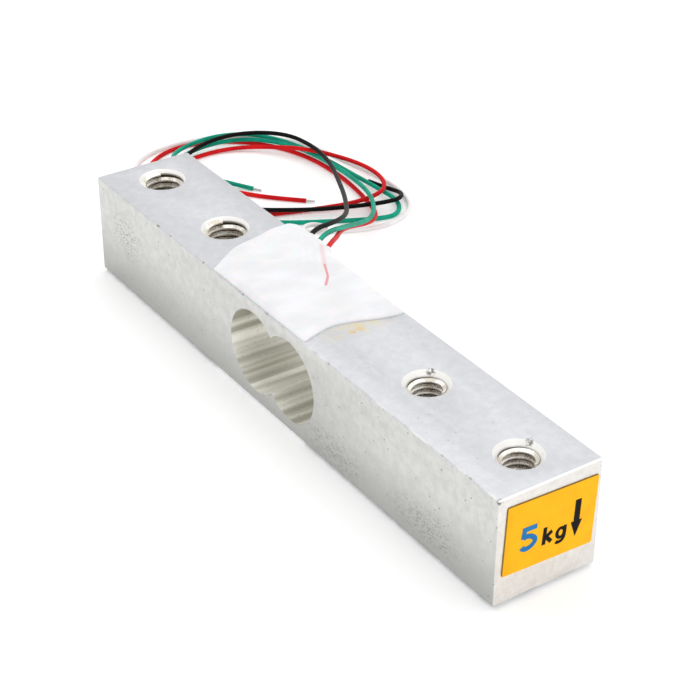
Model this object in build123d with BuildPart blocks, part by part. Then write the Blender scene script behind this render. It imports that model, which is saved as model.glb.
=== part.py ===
"""A small beam load cell: an aluminium bar with a sensing cavity, four strain gauges and four leads.

Frame: +X along the bar, towards the labelled end that carries the load. +Y is the side where the
leads come out. +Z is up. The origin lies on the surface that the cell stands on, under the bar's
middle. All sizes are in millimetres.
"""
from build123d import *
from math import radians, tan
import os

os.makedirs("parts", exist_ok=True)

# Bar
bar_length = 80.0
bar_width = 12.7
bar_height = 12.7
bar_edge = 0.2                # broken edge of the sawn and milled bar
coat_bottom = 0.4             # sealant under the bar, which it stands on

# Sensing cavity: two bores across the bar that run into each other
cavity_bore = 10.0
cavity_spacing = 7.0

# Threaded holes, two at each end
hole_spacing = 15.0
end_to_hole = 5.0
load_thread = 4.0             # major diameter of the thread at the load end
load_mouth = 5.2              # rim of its 90 degree countersink
fixed_thread = 5.0            # major diameter of the thread at the fixed end
fixed_mouth = 5.7

# Rating label on the load end
label_width = 11.2
label_height = 8.1
label_thick = 0.1
label_corner = 0.25
label_side = 0.15             # how far its centre lies from the bar's middle, along Y
label_rise = 7.24             # its centre above the bar's underside
label_tilt = -2.4             # it was stuck on a little askew
print_thick = 0.03
numeral_height = 2.88
numeral_width = 2.1
numeral_stroke = 0.56
numeral_place = (-3.65, -1.93)
numeral_inset = 0.3           # from the numeral's sides to its stroke's middle line
numeral_corner = 0.36
numeral_bar_end = 0.25
numeral_bulge = (1.1, 0.11)   # along the line, and above the waist
numeral_low = (1.05, 0.3)
numeral_tail = (0.2, 0.6)
unit_height = 2.04
unit_stroke = 0.44
unit_place = (-0.92, -2.02)
unit_stem = 0.23              # the first letter's stem, then its leg, knee and arm, along the line
unit_leg = 1.18
unit_knee = 0.42
unit_arm = 1.15
unit_lift = 0.1               # how far the leg and the arm stop short of the letter's heights
unit_bowl = 2.29
unit_bowl_size = (0.66, 0.72)
unit_bowl_hole = (0.26, 0.38)
unit_side = 2.8
unit_tail = ((2.8, 0.35), (2.62, -0.2), (2.2, -0.37), (1.78, -0.26))
letter_lean = 0.03            # sideways lean for each millimetre of height
arrow_place = 3.28
arrow_top = 1.92
arrow_shaft = 0.72
arrow_shaft_length = 2.52
arrow_head = 1.4
arrow_head_length = 1.85

# Strain gauges, one over each thin wall
film_length = 4.6
film_shift = 0.6              # the film reaches further at its tabs' end
film_width = 3.4
film_thick = 0.06
film_place = -1.0             # the gauges' centre line along Y
grid_length = 3.0
grid_strands = 8
grid_pitch = 0.24
grid_line = 0.12
foil_thick = 0.04
tab_length = 0.7
tab_width = 0.6
tab_inner = 1.3               # from the gauge's centre to its two tabs, along X
tab_outer = 2.3
tab_rise = 1.25               # from the gauge's centre to its tabs, along Y

# Terminal strips and what is soldered on them
strip_near = 0.9
strip_far = 2.9
strip_thick = 0.15
strip_margin = 0.3
pad_size = 1.2
pad_thick = 0.03
pad_rise = 1.75               # the pads' centre line along Y
pad_ahead = 0.6               # a pad's centre lies this far past its lead's end, along X
joint_rise = 0.1              # the solder's centre beyond the pad's, along Y
joint_radius = 0.5
joint_bottom_height = 0.14
jumper_diameter = 0.12
jumper_end = 1.25
bridge_diameter = 0.12
bridge_bend = 0.3
bridge_places = (-10.3, -11.5, -12.7, -13.9)
bridge_starts = (2.6, 2.1, 1.6, 1.1)
bridge_side = 0.12            # from the bar's side to the bridge wires' centre line

# Sealant
coat_top = 0.85
coat_top_edge = 0.4
coat_bottom_edge = 0.15
coat_load_end = 7.5           # where the coat ends towards the load end
coat_load_corner = 0.9        # short of that end, where this edge meets the near side
coat_load_edge = ((1.3, -5.0), (2.0, -1.9), (1.2, 1.3))     # short of that end, and along Y
coat_fixed_end = 15.9
coat_fixed_corner = 3.6
coat_fixed_edge = ((0.0, 3.0), (0.5, -1.2), (2.8, -4.9))
bead_start = -7.0             # the bead round the leads begins here, along X
bead_edge = ((-9.0, 0.2), (-12.2, 0.0), (-15.0, 0.2))       # along X, and short of the bead's face
bead_end = 0.1                # past the coat's fixed end
bead_end_rise = 0.2
bead_stand = 0.75             # how far the bead stands out from the bar's side
seal_gap = 0.02               # room left round each piece that lies inside the sealant

# Leads
lead_diameter = 0.6
core_diameter = 0.3
core_inside = 0.85            # bare core between the insulation and the solder
tip_length = 1.2
tip_round = 0.06
lead_rise = 0.47              # a lead's middle above the top face where it starts

# The leads' routes, from the terminal strip to the cut end
red_route = [
    (-2.1, 2.6, 13.57), (-5.0, 4.1, 13.57), (-7.9, 5.9, 13.57), (-10.2, 8.4, 13.1),
    (-13.4, 11.2, 11.4), (-17.2, 14.2, 9.6), (-20.6, 17.3, 7.6), (-23.5, 20.5, 5.7),
    (-25.9, 23.8, 3.9), (-28.4, 27.0, 2.4), (-31.6, 29.7, 1.2), (-35.6, 31.5, 0.3),
    (-40.6, 32.5, 0.3), (-46.2, 32.9, 0.3), (-51.9, 32.5, 0.3), (-57.3, 30.7, 0.3),
    (-61.9, 27.2, 0.3), (-64.9, 22.4, 0.3), (-65.2, 16.8, 0.3), (-62.4, 12.2, 0.3),
    (-57.8, 9.6, 0.3), (-52.0, 8.8, 0.3), (-46.2, 10.0, 0.9), (-42.6, 13.4, 1.1),
    (-41.0, 17.6, 0.3), (-39.6, 21.6, 0.3), (-38.0, 25.2, 0.5), (-36.3, 28.8, 0.9),
    (-35.4, 32.2, 1.5), (-36.7, 34.8, 1.5), (-39.9, 36.2, 1.5), (-44.0, 36.1, 1.5),
    (-48.0, 34.2, 1.8), (-52.4, 31.7, 1.8), (-57.0, 29.1, 0.9), (-60.3, 25.2, 0.5),
    (-61.3, 20.4, 0.3), (-60.2, 15.8, 0.3), (-56.6, 14.2, 0.3), (-52.4, 16.0, 0.3),
    (-48.3, 18.6, 0.3), (-44.6, 21.4, 0.3), (-41.3, 24.9, 0.3),
]
green_route = [
    (-3.9, 2.6, 13.57), (-6.8, 4.1, 13.57), (-9.7, 5.9, 13.57), (-11.8, 8.2, 13.2),
    (-13.8, 10.8, 12.3), (-16.2, 13.6, 10.7), (-18.9, 16.5, 8.9), (-21.4, 19.4, 7.2),
    (-23.8, 22.6, 5.6), (-26.6, 25.6, 4.3), (-30.0, 28.2, 3.3), (-34.2, 30.6, 2.5),
    (-39.4, 32.3, 1.7), (-45.2, 33.0, 1.2), (-51.2, 32.8, 1.1), (-57.0, 31.2, 1.0),
    (-61.2, 27.4, 1.0), (-62.5, 22.0, 1.0), (-61.6, 16.2, 0.6), (-57.8, 11.6, 0.3),
    (-51.8, 10.2, 0.3), (-45.4, 11.2, 0.3), (-40.6, 15.0, 0.3), (-36.9, 20.0, 0.3),
    (-34.2, 25.0, 0.3), (-31.9, 29.4, 0.3), (-31.0, 32.9, 0.3), (-33.6, 34.9, 0.7),
    (-38.2, 34.4, 0.9), (-44.0, 34.0, 0.8), (-50.2, 34.0, 0.4), (-56.8, 32.8, 0.5),
    (-62.0, 29.4, 0.9), (-64.0, 24.4, 1.2), (-63.6, 18.8, 1.1), (-60.4, 14.6, 1.7),
    (-56.0, 14.4, 1.6), (-52.2, 17.6, 0.8), (-48.3, 20.8, 0.3),
]
black_route = [
    (-5.7, 2.6, 13.57), (-8.6, 4.1, 13.57), (-11.5, 5.9, 13.57), (-13.5, 8.4, 13.4),
    (-15.0, 11.6, 12.5), (-17.4, 14.8, 11.2), (-20.8, 17.7, 9.7), (-25.0, 20.4, 8.2),
    (-29.8, 23.3, 6.7), (-34.8, 26.0, 5.3), (-40.2, 28.8, 4.1), (-45.8, 31.2, 3.1),
    (-51.6, 32.4, 2.5), (-56.9, 31.8, 2.2), (-60.8, 28.4, 1.9), (-62.0, 23.4, 1.9),
    (-61.0, 18.0, 1.5), (-57.4, 13.4, 0.8), (-51.8, 11.6, 0.3), (-46.2, 13.0, 0.3),
    (-42.4, 16.2, 1.0), (-39.4, 20.0, 1.1), (-37.1, 24.2, 1.0), (-34.9, 28.4, 1.2),
    (-33.4, 31.8, 1.4), (-33.0, 34.5, 1.4), (-34.9, 36.3, 1.0), (-38.1, 36.2, 0.3),
    (-41.4, 35.2, 0.3),
]
white_route = [
    (-7.5, 2.6, 13.57), (-10.4, 4.1, 13.57), (-13.3, 5.9, 13.57), (-15.1, 8.2, 13.3),
    (-15.7, 10.8, 12.1), (-17.7, 12.7, 10.2), (-21.3, 13.0, 8.0), (-25.8, 12.1, 5.8),
    (-30.7, 10.9, 3.7), (-35.8, 9.8, 1.9), (-41.4, 8.8, 0.6), (-47.2, 7.9, 0.3),
    (-53.2, 7.6, 0.3), (-59.2, 8.4, 0.3), (-64.2, 11.2, 0.3), (-66.3, 16.4, 0.3),
    (-66.0, 22.4, 0.3), (-63.6, 27.8, 0.3), (-59.9, 32.4, 0.3), (-54.2, 35.0, 0.3),
    (-47.8, 36.2, 0.3), (-41.8, 37.3, 0.3), (-36.0, 37.3, 0.3), (-31.4, 35.4, 0.3),
    (-29.4, 31.2, 0.3), (-30.2, 26.4, 0.3), (-32.8, 21.8, 0.3), (-35.8, 17.2, 0.3),
]
drawn_routes = {"red": red_route, "green": green_route, "black": black_route, "white": white_route}

# Heights and places that follow
underside = coat_bottom
top_face = underside + bar_height
middle_height = underside + bar_height / 2
side_face = bar_width / 2
load_end = bar_length / 2
flat_edge = side_face - bar_edge
outer_hole = load_end - end_to_hole
inner_hole = outer_hole - hole_spacing
gauge_places = {"load": cavity_spacing / 2, "fixed": -cavity_spacing / 2}
pad_places = [route[0][0] + pad_ahead for route in drawn_routes.values()]
strip_start = min(pad_places) - pad_size / 2 - strip_margin
strip_end = max(pad_places) + pad_size / 2 + strip_margin
pad_top = top_face + strip_thick + pad_thick
pad_bottom = underside - strip_thick - pad_thick
jumper_radius = jumper_diameter / 2
bridge_radius = bridge_diameter / 2
bead_out = side_face + bead_stand
lying = lead_diameter / 2


def save(piece, name):
    """Label a finished piece and write it to its own file."""
    piece.part.label = name
    export_step(piece.part, f"parts/{name}.step")


def from_top_face(route):
    """A drawn route with its heights fitted between the surface below and the bar's top face."""
    share = (top_face + lead_rise - lying) / (route[0][2] - lying)
    return [(x, y, lying + (z - lying) * share) for x, y, z in route]


lead_routes = {colour: from_top_face(route) for colour, route in drawn_routes.items()}


def corner_radii(route):
    """The radius at each corner: 0.45 of its shorter run over the tangent of half the turn."""
    points = [Vector(*point) for point in route]
    radii = []
    for before, corner, after in zip(points, points[1:], points[2:]):
        run_in = corner - before
        run_out = after - corner
        half_turn = radians(run_in.get_angle(run_out)) / 2
        radii.append(0.45 * min(run_in.length, run_out.length) / tan(half_turn))
    return radii


def start_plane(route):
    """The plane across a route's first point, facing along the route."""
    start = Vector(*route[0])
    return Plane(origin=start, z_dir=Vector(*route[1]) - start)


def end_plane(route):
    """The plane across a route's last point, facing out of the cut end."""
    end = Vector(*route[-1])
    return Plane(origin=end, z_dir=end - Vector(*route[-2]))


def round_wire(route, diameter, radii):
    """A round wire along straight runs joined by tangent arcs."""
    with BuildPart() as wire:
        with BuildLine() as path:
            FilletPolyline(*route, radius=radii)
        with BuildSketch(start_plane(route)):
            Circle(diameter / 2)
        sweep(path=path.line)
    return wire


# Beam: the bar with its sensing cavity and threaded, countersunk holes
with BuildPart() as beam:
    with BuildSketch(Plane.XY.offset(underside)):
        Rectangle(bar_length, bar_width)
    extrude(amount=bar_height)
    chamfer(beam.edges(), bar_edge)
    with BuildSketch(Plane.XZ.offset(-side_face)):
        with Locations((gauge_places["fixed"], middle_height), (gauge_places["load"], middle_height)):
            Circle(cavity_bore / 2)
    extrude(amount=bar_width, mode=Mode.SUBTRACT)
    for way, thread, mouth in ((1, load_thread, load_mouth), (-1, fixed_thread, fixed_mouth)):
        with Locations((way * outer_hole, 0, top_face), (way * inner_hole, 0, top_face)):
            CounterSinkHole(thread / 2, mouth / 2, counter_sink_angle=90)
        with Locations(Plane.XY.offset(underside).rotated((180, 0, 0))):
            with Locations((way * outer_hole, 0), (way * inner_hole, 0)):
                CounterSinkHole(thread / 2, mouth / 2, counter_sink_angle=90)
save(beam, "beam")

# Rating label and its print
label_plane = Plane(
    origin=(load_end, label_side, underside + label_rise),
    x_dir=Vector(0, 1, 0).rotate(Axis.X, label_tilt),
    z_dir=(1, 0, 0),
)
print_plane = label_plane.offset(label_thick)

with BuildPart() as rating_label:
    with BuildSketch(label_plane):
        RectangleRounded(label_width, label_height, label_corner)
    extrude(amount=label_thick)
save(rating_label, "rating_label")


def leaning(place, points):
    """Points of a letter, moved to its place and leaned to the right."""
    return [(place[0] + x + letter_lean * y, place[1] + y) for x, y in points]


with BuildPart() as label_numeral:
    with BuildSketch(print_plane):
        bar_line = numeral_height - numeral_stroke / 2
        waist = 0.54 * numeral_height
        with BuildLine():
            Polyline(leaning(numeral_place, [
                (numeral_width - numeral_bar_end, bar_line), (numeral_corner, bar_line),
                (numeral_inset, waist),
            ]))
        trace(line_width=numeral_stroke)
        with BuildLine():
            Spline(leaning(numeral_place, [
                (numeral_inset, waist), (numeral_bulge[0], waist + numeral_bulge[1]),
                (numeral_width - numeral_inset, 0.34 * numeral_height), numeral_low, numeral_tail,
            ]))
        trace(line_width=numeral_stroke)
    extrude(amount=print_thick)
save(label_numeral, "label_numeral")

with BuildPart() as label_unit:
    with BuildSketch(print_plane):
        x_height = 0.7 * unit_height
        with BuildLine():
            Polyline(leaning(unit_place, [(unit_stem, 0), (unit_stem, unit_height)]))
        trace(line_width=unit_stroke)
        with BuildLine():
            Polyline(leaning(unit_place, [
                (unit_leg, unit_lift), (unit_knee, 0.42 * unit_height), (unit_arm, x_height - unit_lift),
            ]))
        trace(line_width=unit_stroke)
        bowl = leaning(unit_place, [(unit_bowl, 0.49 * x_height)])[0]
        with Locations(bowl):
            Ellipse(*unit_bowl_size)
            Ellipse(*unit_bowl_hole, mode=Mode.SUBTRACT)
        with BuildLine():
            Spline(leaning(unit_place, [(unit_side, x_height), *unit_tail]))
        trace(line_width=unit_stroke * 0.85)
    extrude(amount=print_thick)
save(label_unit, "label_unit")

with BuildPart() as load_arrow:
    with BuildSketch(print_plane):
        head_line = arrow_top - arrow_shaft_length
        with BuildLine():
            Polyline(
                (arrow_place - arrow_shaft / 2, arrow_top),
                (arrow_place + arrow_shaft / 2, arrow_top),
                (arrow_place + arrow_shaft / 2, head_line),
                (arrow_place + arrow_head / 2, head_line),
                (arrow_place, head_line - arrow_head_length),
                (arrow_place - arrow_head / 2, head_line),
                (arrow_place - arrow_shaft / 2, head_line),
                close=True,
            )
        make_face()
    extrude(amount=print_thick)
save(load_arrow, "load_arrow")

# Strain gauges: a backing film and an etched grid over each thin wall
gauge_faces = {
    "top": (Plane.XY.offset(top_face), 1),
    "bottom": (Plane.XY.offset(underside), -1),
}


def gauge_film(face, way, place):
    """The backing film of one gauge."""
    with BuildPart() as film:
        with BuildSketch(face):
            with Locations((place - film_shift, film_place)):
                Rectangle(film_length, film_width)
        extrude(amount=way * film_thick)
    return film


def gauge_grid(face, way, place):
    """The foil grid of one gauge: strands along the bar, joined in turn at their ends, and two tabs."""
    span = (grid_strands - 1) * grid_pitch
    with BuildPart() as grid:
        with BuildSketch(face.offset(way * film_thick)):
            with Locations((place, film_place)):
                with GridLocations(0, grid_pitch, 1, grid_strands):
                    Rectangle(grid_length, grid_line)
            for loop in range(grid_strands - 1):
                end = grid_length / 2 if loop % 2 == 0 else -grid_length / 2
                inward = -1 if end > 0 else 1
                middle = film_place - span / 2 + (loop + 0.5) * grid_pitch
                with Locations((place + end + inward * grid_line / 2, middle)):
                    Rectangle(grid_line, grid_pitch)
            with Locations((place - tab_inner, film_place + tab_rise)):
                Rectangle(tab_length, tab_width)
            with Locations((place - grid_length / 2 + grid_line / 2, film_place + tab_rise / 2 + span / 4)):
                Rectangle(grid_line, tab_rise - span / 2)
            with Locations((place - tab_outer, film_place + tab_rise)):
                Rectangle(tab_length, tab_width)
            with Locations((place - tab_outer, film_place + tab_rise / 2 - span / 4)):
                Rectangle(grid_line, tab_rise + span / 2)
            with Locations((place - tab_outer / 2 - grid_length / 4, film_place - span / 2)):
                Rectangle(tab_outer - grid_length / 2 + grid_line, grid_line)
        extrude(amount=way * foil_thick)
    return grid


gauge_pieces = {"top": [], "bottom": []}
for side, (face, way) in gauge_faces.items():
    for end, place in gauge_places.items():
        film = gauge_film(face, way, place)
        save(film, f"gauge_film_{side}_{end}")
        grid = gauge_grid(face, way, place)
        save(grid, f"gauge_grid_{side}_{end}")
        gauge_pieces[side] += [film, grid]

# Terminal strips, their pads and the solder on them
def terminal_strip(face, way):
    """The laminate strip that carries the pads."""
    with BuildPart() as strip:
        with BuildSketch(face):
            with Locations(((strip_start + strip_end) / 2, (strip_near + strip_far) / 2)):
                Rectangle(strip_end - strip_start, strip_far - strip_near)
        extrude(amount=way * strip_thick)
    return strip


def terminal_pads(face, way):
    """Four copper pads on the strip."""
    with BuildPart() as pads:
        with BuildSketch(face.offset(way * strip_thick)):
            with Locations(*[(place, pad_rise) for place in pad_places]):
                Rectangle(pad_size, pad_size)
        extrude(amount=way * pad_thick)
    return pads


strip_top = terminal_strip(*gauge_faces["top"])
save(strip_top, "terminal_strip_top")
strip_bottom = terminal_strip(*gauge_faces["bottom"])
save(strip_bottom, "terminal_strip_bottom")
pads_top = terminal_pads(*gauge_faces["top"])
save(pads_top, "terminal_pads_top")
pads_bottom = terminal_pads(*gauge_faces["bottom"])
save(pads_bottom, "terminal_pads_bottom")

with BuildPart() as joints_top:
    with Locations(*[(place, pad_rise + joint_rise, pad_top) for place in pad_places]):
        Sphere(joint_radius, arc_size1=0, align=(Align.CENTER, Align.CENTER, Align.MIN))
    for route in lead_routes.values():
        with BuildSketch(start_plane(route)):
            Circle(core_diameter / 2)
        extrude(amount=-core_inside, mode=Mode.SUBTRACT)
save(joints_top, "solder_joints_top")

with BuildPart() as joints_bottom:
    with BuildSketch(Plane.XY.offset(pad_bottom)):
        with Locations(*[(place, pad_rise + joint_rise) for place in pad_places]):
            Circle(joint_radius)
    extrude(amount=-joint_bottom_height)
    lowest_rims = joints_bottom.edges().filter_by(GeomType.CIRCLE).group_by(Axis.Z)[0]
    chamfer(lowest_rims, joint_bottom_height / 2)
save(joints_bottom, "solder_joints_bottom")

# Jumpers: from the gauges' tabs to the pads, on each face
jumper_starts = [
    gauge_places["load"] - tab_inner, gauge_places["load"] - tab_outer,
    gauge_places["fixed"] - tab_inner, gauge_places["fixed"] - tab_outer,
]


def jumpers(height):
    """Four short wires that lie at one height, from tab to pad."""
    with BuildPart() as wires:
        for start, end in zip(jumper_starts, pad_places):
            first = Vector(start, film_place + tab_rise, height)
            last = Vector(end, jumper_end, height)
            with BuildSketch(Plane(origin=first, z_dir=last - first)):
                Circle(jumper_radius)
            extrude(amount=(last - first).length)
    return wires


jumpers_top = jumpers(pad_top + jumper_radius)
save(jumpers_top, "gauge_jumpers_top")
jumpers_bottom = jumpers(pad_bottom - jumper_radius)
save(jumpers_bottom, "gauge_jumpers_bottom")

# Bridge wires: from the upper strip's end, round the bar's side, to the lower strip's end
def bridge_route(place, start):
    """One bridge wire's corners."""
    upper = top_face + bridge_radius
    lower = underside - bridge_radius
    side = side_face + bridge_side
    return [
        (strip_start, start, upper), (place, start, upper), (place, side, upper),
        (place, side, lower), (place, start, lower), (strip_start, start, lower),
    ]


bridge_routes = [bridge_route(place, start) for place, start in zip(bridge_places, bridge_starts)]
bridge_each = [round_wire(route, bridge_diameter, bridge_bend) for route in bridge_routes]
with BuildPart() as bridge_wires:
    for wire in bridge_each:
        add(wire.part)
save(bridge_wires, "bridge_wires")

# Leads, with the bare core inside the sealant, and their tinned tips
lead_radii = {}
for colour, route in lead_routes.items():
    radii = corner_radii(route)
    lead_radii[colour] = radii
    path_wire = round_wire(route, lead_diameter, radii)
    with BuildPart() as lead:
        add(path_wire.part)
        with BuildSketch(start_plane(route)):
            Circle(core_diameter / 2)
        extrude(amount=-core_inside)
    save(lead, f"lead_{colour}")
    with BuildPart() as tip:
        with BuildSketch(end_plane(route)):
            Circle(core_diameter / 2)
        extrude(amount=tip_length)
        fillet(tip.faces().sort_by_distance(route[-1])[-1].edges(), tip_round)
    save(tip, f"tip_{colour}")
    print(colour, "radii", [round(radius, 2) for radius in radii])

# Sealant
def coat_outline():
    """The coat's outline: along the near edge, over the gauges and out round the leads' bead."""
    near_left = (coat_fixed_corner - coat_fixed_end, -flat_edge)
    near_right = (coat_load_end - coat_load_corner, -flat_edge)
    far_right = (coat_load_end, flat_edge)
    bead_right = (bead_start, flat_edge)
    bead_left = (-coat_fixed_end - bead_end, flat_edge - bead_end_rise)
    load_edge = [(coat_load_end - short, along) for short, along in coat_load_edge]
    fixed_edge = [(short - coat_fixed_end, along) for short, along in coat_fixed_edge]
    bead = [(along, bead_out - short) for along, short in bead_edge]
    with BuildLine() as outline:
        Line(near_left, near_right)
        Spline(near_right, *load_edge, far_right)
        Line(far_right, bead_right)
        Spline(bead_right, *bead, bead_left)
        Spline(bead_left, *fixed_edge, near_left)
    return outline.edges()


def channel(route, diameter, radii):
    """The room that the sealant leaves round one wire."""
    return round_wire(route, diameter + 2 * seal_gap, radii)


inner_leads = [
    channel(route[:5], lead_diameter, lead_radii[colour][:3]) for colour, route in lead_routes.items()
]
inner_bridges = [channel(route, bridge_diameter, bridge_bend) for route in bridge_routes]


def room_above(face, way, tall_joints):
    """The shallow room that the coat leaves over the gauges, the strip and the solder."""
    grid_top = film_thick + foil_thick + seal_gap
    jumper_top = strip_thick + pad_thick + jumper_diameter + seal_gap
    with BuildPart() as room:
        with BuildSketch(face):
            for place in gauge_places.values():
                with Locations((place - film_shift, film_place)):
                    Rectangle(film_length + 2 * seal_gap, film_width + 2 * seal_gap)
        extrude(amount=way * grid_top)
        with BuildSketch(face):
            with Locations(((strip_start + strip_end) / 2, (strip_near + strip_far) / 2)):
                Rectangle(strip_end - strip_start + 2 * seal_gap, strip_far - strip_near + 2 * seal_gap)
        extrude(amount=way * (strip_thick + seal_gap))
        with BuildSketch(face):
            with Locations(*[(place, pad_rise) for place in pad_places]):
                Rectangle(pad_size + 2 * seal_gap, pad_size + 2 * seal_gap)
        extrude(amount=way * (strip_thick + pad_thick + seal_gap))
        with BuildSketch(face):
            for start, end in zip(jumper_starts, pad_places):
                with BuildLine():
                    Line((start, film_place + tab_rise), (end, jumper_end))
                trace(line_width=jumper_diameter + 2 * seal_gap)
        extrude(amount=way * jumper_top)
        with BuildSketch(face):
            with Locations(*[(place, pad_rise + joint_rise) for place in pad_places]):
                Circle(joint_radius + seal_gap)
        extrude(amount=way * (strip_thick + pad_thick + tall_joints + seal_gap))
    return room


room_top = room_above(*gauge_faces["top"], joint_radius)
room_bottom = room_above(*gauge_faces["bottom"], joint_bottom_height)

with BuildPart() as sealant_top:
    with BuildSketch(Plane.XY.offset(top_face)):
        make_face(coat_outline())
    extrude(amount=coat_top)
    upper_rim = sealant_top.faces().sort_by(Axis.Z)[-1].edges()
    chamfer(upper_rim, coat_top_edge)
    add(room_top.part, mode=Mode.SUBTRACT)
    for room in inner_leads + inner_bridges:
        add(room.part, mode=Mode.SUBTRACT)
    for route in lead_routes.values():
        with BuildSketch(start_plane(route)):
            Circle(core_diameter / 2 + seal_gap)
        extrude(amount=-core_inside - seal_gap, mode=Mode.SUBTRACT)
save(sealant_top, "sealant_top")

with BuildPart() as sealant_bottom:
    with BuildSketch(Plane.XY):
        make_face(coat_outline())
    extrude(amount=coat_bottom)
    lower_rim = sealant_bottom.faces().sort_by(Axis.Z)[0].edges()
    chamfer(lower_rim, coat_bottom_edge)
    add(room_bottom.part, mode=Mode.SUBTRACT)
    for room in inner_bridges:
        add(room.part, mode=Mode.SUBTRACT)
save(sealant_bottom, "sealant_bottom")

with BuildPart() as sealant_side:
    with BuildSketch(Plane.XY.offset(underside)):
        make_face(coat_outline())
        with Locations((0, -bar_width / 2)):
            Rectangle(bar_length, 2 * bar_width, mode=Mode.SUBTRACT)
    extrude(amount=bar_height)
    for room in inner_leads + inner_bridges:
        add(room.part, mode=Mode.SUBTRACT)
save(sealant_side, "sealant_side")
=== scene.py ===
"""A small beam load cell, dressed on its CAD frame and lit as a product photograph on white.

Everything is in metres in the CAD's frame: +X along the bar towards the label, +Z up, and the
surface it stands on at z = 0. Sizes are written in millimetres and turned into metres by MM.
"""
import math
import bmesh
import bpy
from mathutils import Matrix, Vector
from mathutils.kdtree import KDTree


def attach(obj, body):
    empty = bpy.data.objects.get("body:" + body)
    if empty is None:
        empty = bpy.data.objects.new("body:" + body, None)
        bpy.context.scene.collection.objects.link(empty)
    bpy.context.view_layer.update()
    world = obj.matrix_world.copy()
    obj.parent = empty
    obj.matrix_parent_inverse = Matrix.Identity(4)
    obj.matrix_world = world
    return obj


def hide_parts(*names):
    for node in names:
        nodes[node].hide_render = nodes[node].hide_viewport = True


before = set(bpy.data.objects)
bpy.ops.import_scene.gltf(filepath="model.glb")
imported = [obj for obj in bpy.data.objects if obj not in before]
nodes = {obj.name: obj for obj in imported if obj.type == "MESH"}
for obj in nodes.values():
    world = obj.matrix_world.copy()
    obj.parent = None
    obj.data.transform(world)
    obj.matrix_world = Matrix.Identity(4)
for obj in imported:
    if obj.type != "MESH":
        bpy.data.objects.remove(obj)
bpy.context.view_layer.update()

MM = 0.001
PER_MM = 1000.0          # a texture scale of 1 * PER_MM has features of about a millimetre

# The bar, as in the CAD
HALF_LENGTH, HALF_WIDTH, HALF_HEIGHT = 40.0, 6.35, 6.35
UNDERSIDE, TOP = 0.4, 13.1
MIDDLE = UNDERSIDE + HALF_HEIGHT
BAR_EDGE = 0.2
CAVITY_RADIUS, CAVITY_OFFSET = 5.0, 3.5
INNER_HOLE, OUTER_HOLE = 20.0, 35.0
# major radius, mouth radius, pitch and thread depth at each end
LOAD_THREAD = (2.0, 2.6, 0.7, 0.38)
FIXED_THREAD = (2.5, 2.85, 0.8, 0.43)
HOLES = [
    ("load_outer", OUTER_HOLE, *LOAD_THREAD),
    ("load_inner", INNER_HOLE, *LOAD_THREAD),
    ("fixed_inner", -INNER_HOLE, *FIXED_THREAD),
    ("fixed_outer", -OUTER_HOLE, *FIXED_THREAD),
]

# Camera


def make_camera():
    """The photograph's view: a long lens from the load end, on the near side, looking down."""
    azimuth, elevation, roll = 0.974, 0.5589, 0.0045     # radians
    distance, target = 207.8532 * MM, Vector((0.0791, 4.0492, 5.2745)) * MM
    back = Vector((
        math.sin(azimuth) * math.cos(elevation),
        -math.cos(azimuth) * math.cos(elevation),
        math.sin(elevation),
    ))
    level = (-back).cross(Vector((0, 0, 1))).normalized()
    upright = level.cross(-back)
    right = level * math.cos(roll) + upright * math.sin(roll)
    up = upright * math.cos(roll) - level * math.sin(roll)
    data = bpy.data.cameras.new("photo_camera")
    data.sensor_width = 36.0
    data.lens = 95.01
    data.clip_start, data.clip_end = 0.01, 10.0
    camera = bpy.data.objects.new("photo_camera", data)
    turn = Matrix((right, up, back)).transposed()
    camera.matrix_world = Matrix.Translation(target + back * distance) @ turn.to_4x4()
    bpy.context.scene.collection.objects.link(camera)
    bpy.context.scene.camera = camera


make_camera()

# Materials

SMOOTH = {"interpolation_type": "SMOOTHSTEP"}


def srgb(code):
    """A hex colour as the linear colour that a shader takes."""
    parts = [int(code[i:i + 2], 16) / 255 for i in (0, 2, 4)]
    return [p / 12.92 if p <= 0.04045 else ((p + 0.055) / 1.055) ** 2.4 for p in parts] + [1.0]


def feed(tree, node, inputs):
    """Gives a node its inputs, by name or number: each is a value, a socket, or another node, whose
    first output in use is then meant."""
    for name, value in inputs.items():
        if isinstance(value, bpy.types.Node):
            value = next(socket for socket in value.outputs if socket.enabled)
        if isinstance(value, bpy.types.NodeSocket):
            tree.links.new(value, node.inputs[name])
        else:
            node.inputs[name].default_value = value


def add(tree, kind, inputs=None, **settings):
    """One node with its settings and its inputs."""
    node = tree.nodes.new(kind)
    for name, value in settings.items():
        setattr(node, name, value)
    feed(tree, node, inputs or {})
    return node


def new_material(name, **shader):
    """A named material with its shader's constants set; returns it, its tree and its shader."""
    material = bpy.data.materials.new(name)
    material.use_nodes = True
    tree = material.node_tree
    surface = tree.nodes["Principled BSDF"]
    for socket, value in shader.items():
        surface.inputs[socket.replace("_", " ")].default_value = value
    return material, tree, surface


def moved(tree, stretch=(1.0, 1.0, 1.0), turn=(0.0, 0.0, 0.0), shift=(0.0, 0.0, 0.0)):
    """The place on the piece, moved, turned and stretched."""
    where = add(tree, "ShaderNodeTexCoord")
    return add(tree, "ShaderNodeMapping", {
        "Vector": where.outputs["Object"], "Location": shift, "Rotation": turn, "Scale": stretch,
    })


def grain(tree, per_mm, detail, roughness, **mapping):
    """Cloudy grain over the piece, with that many features to the millimetre."""
    return add(tree, "ShaderNodeTexNoise", {
        "Vector": moved(tree, **mapping), "Scale": per_mm * PER_MM,
        "Detail": detail, "Roughness": roughness,
    })


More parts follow.
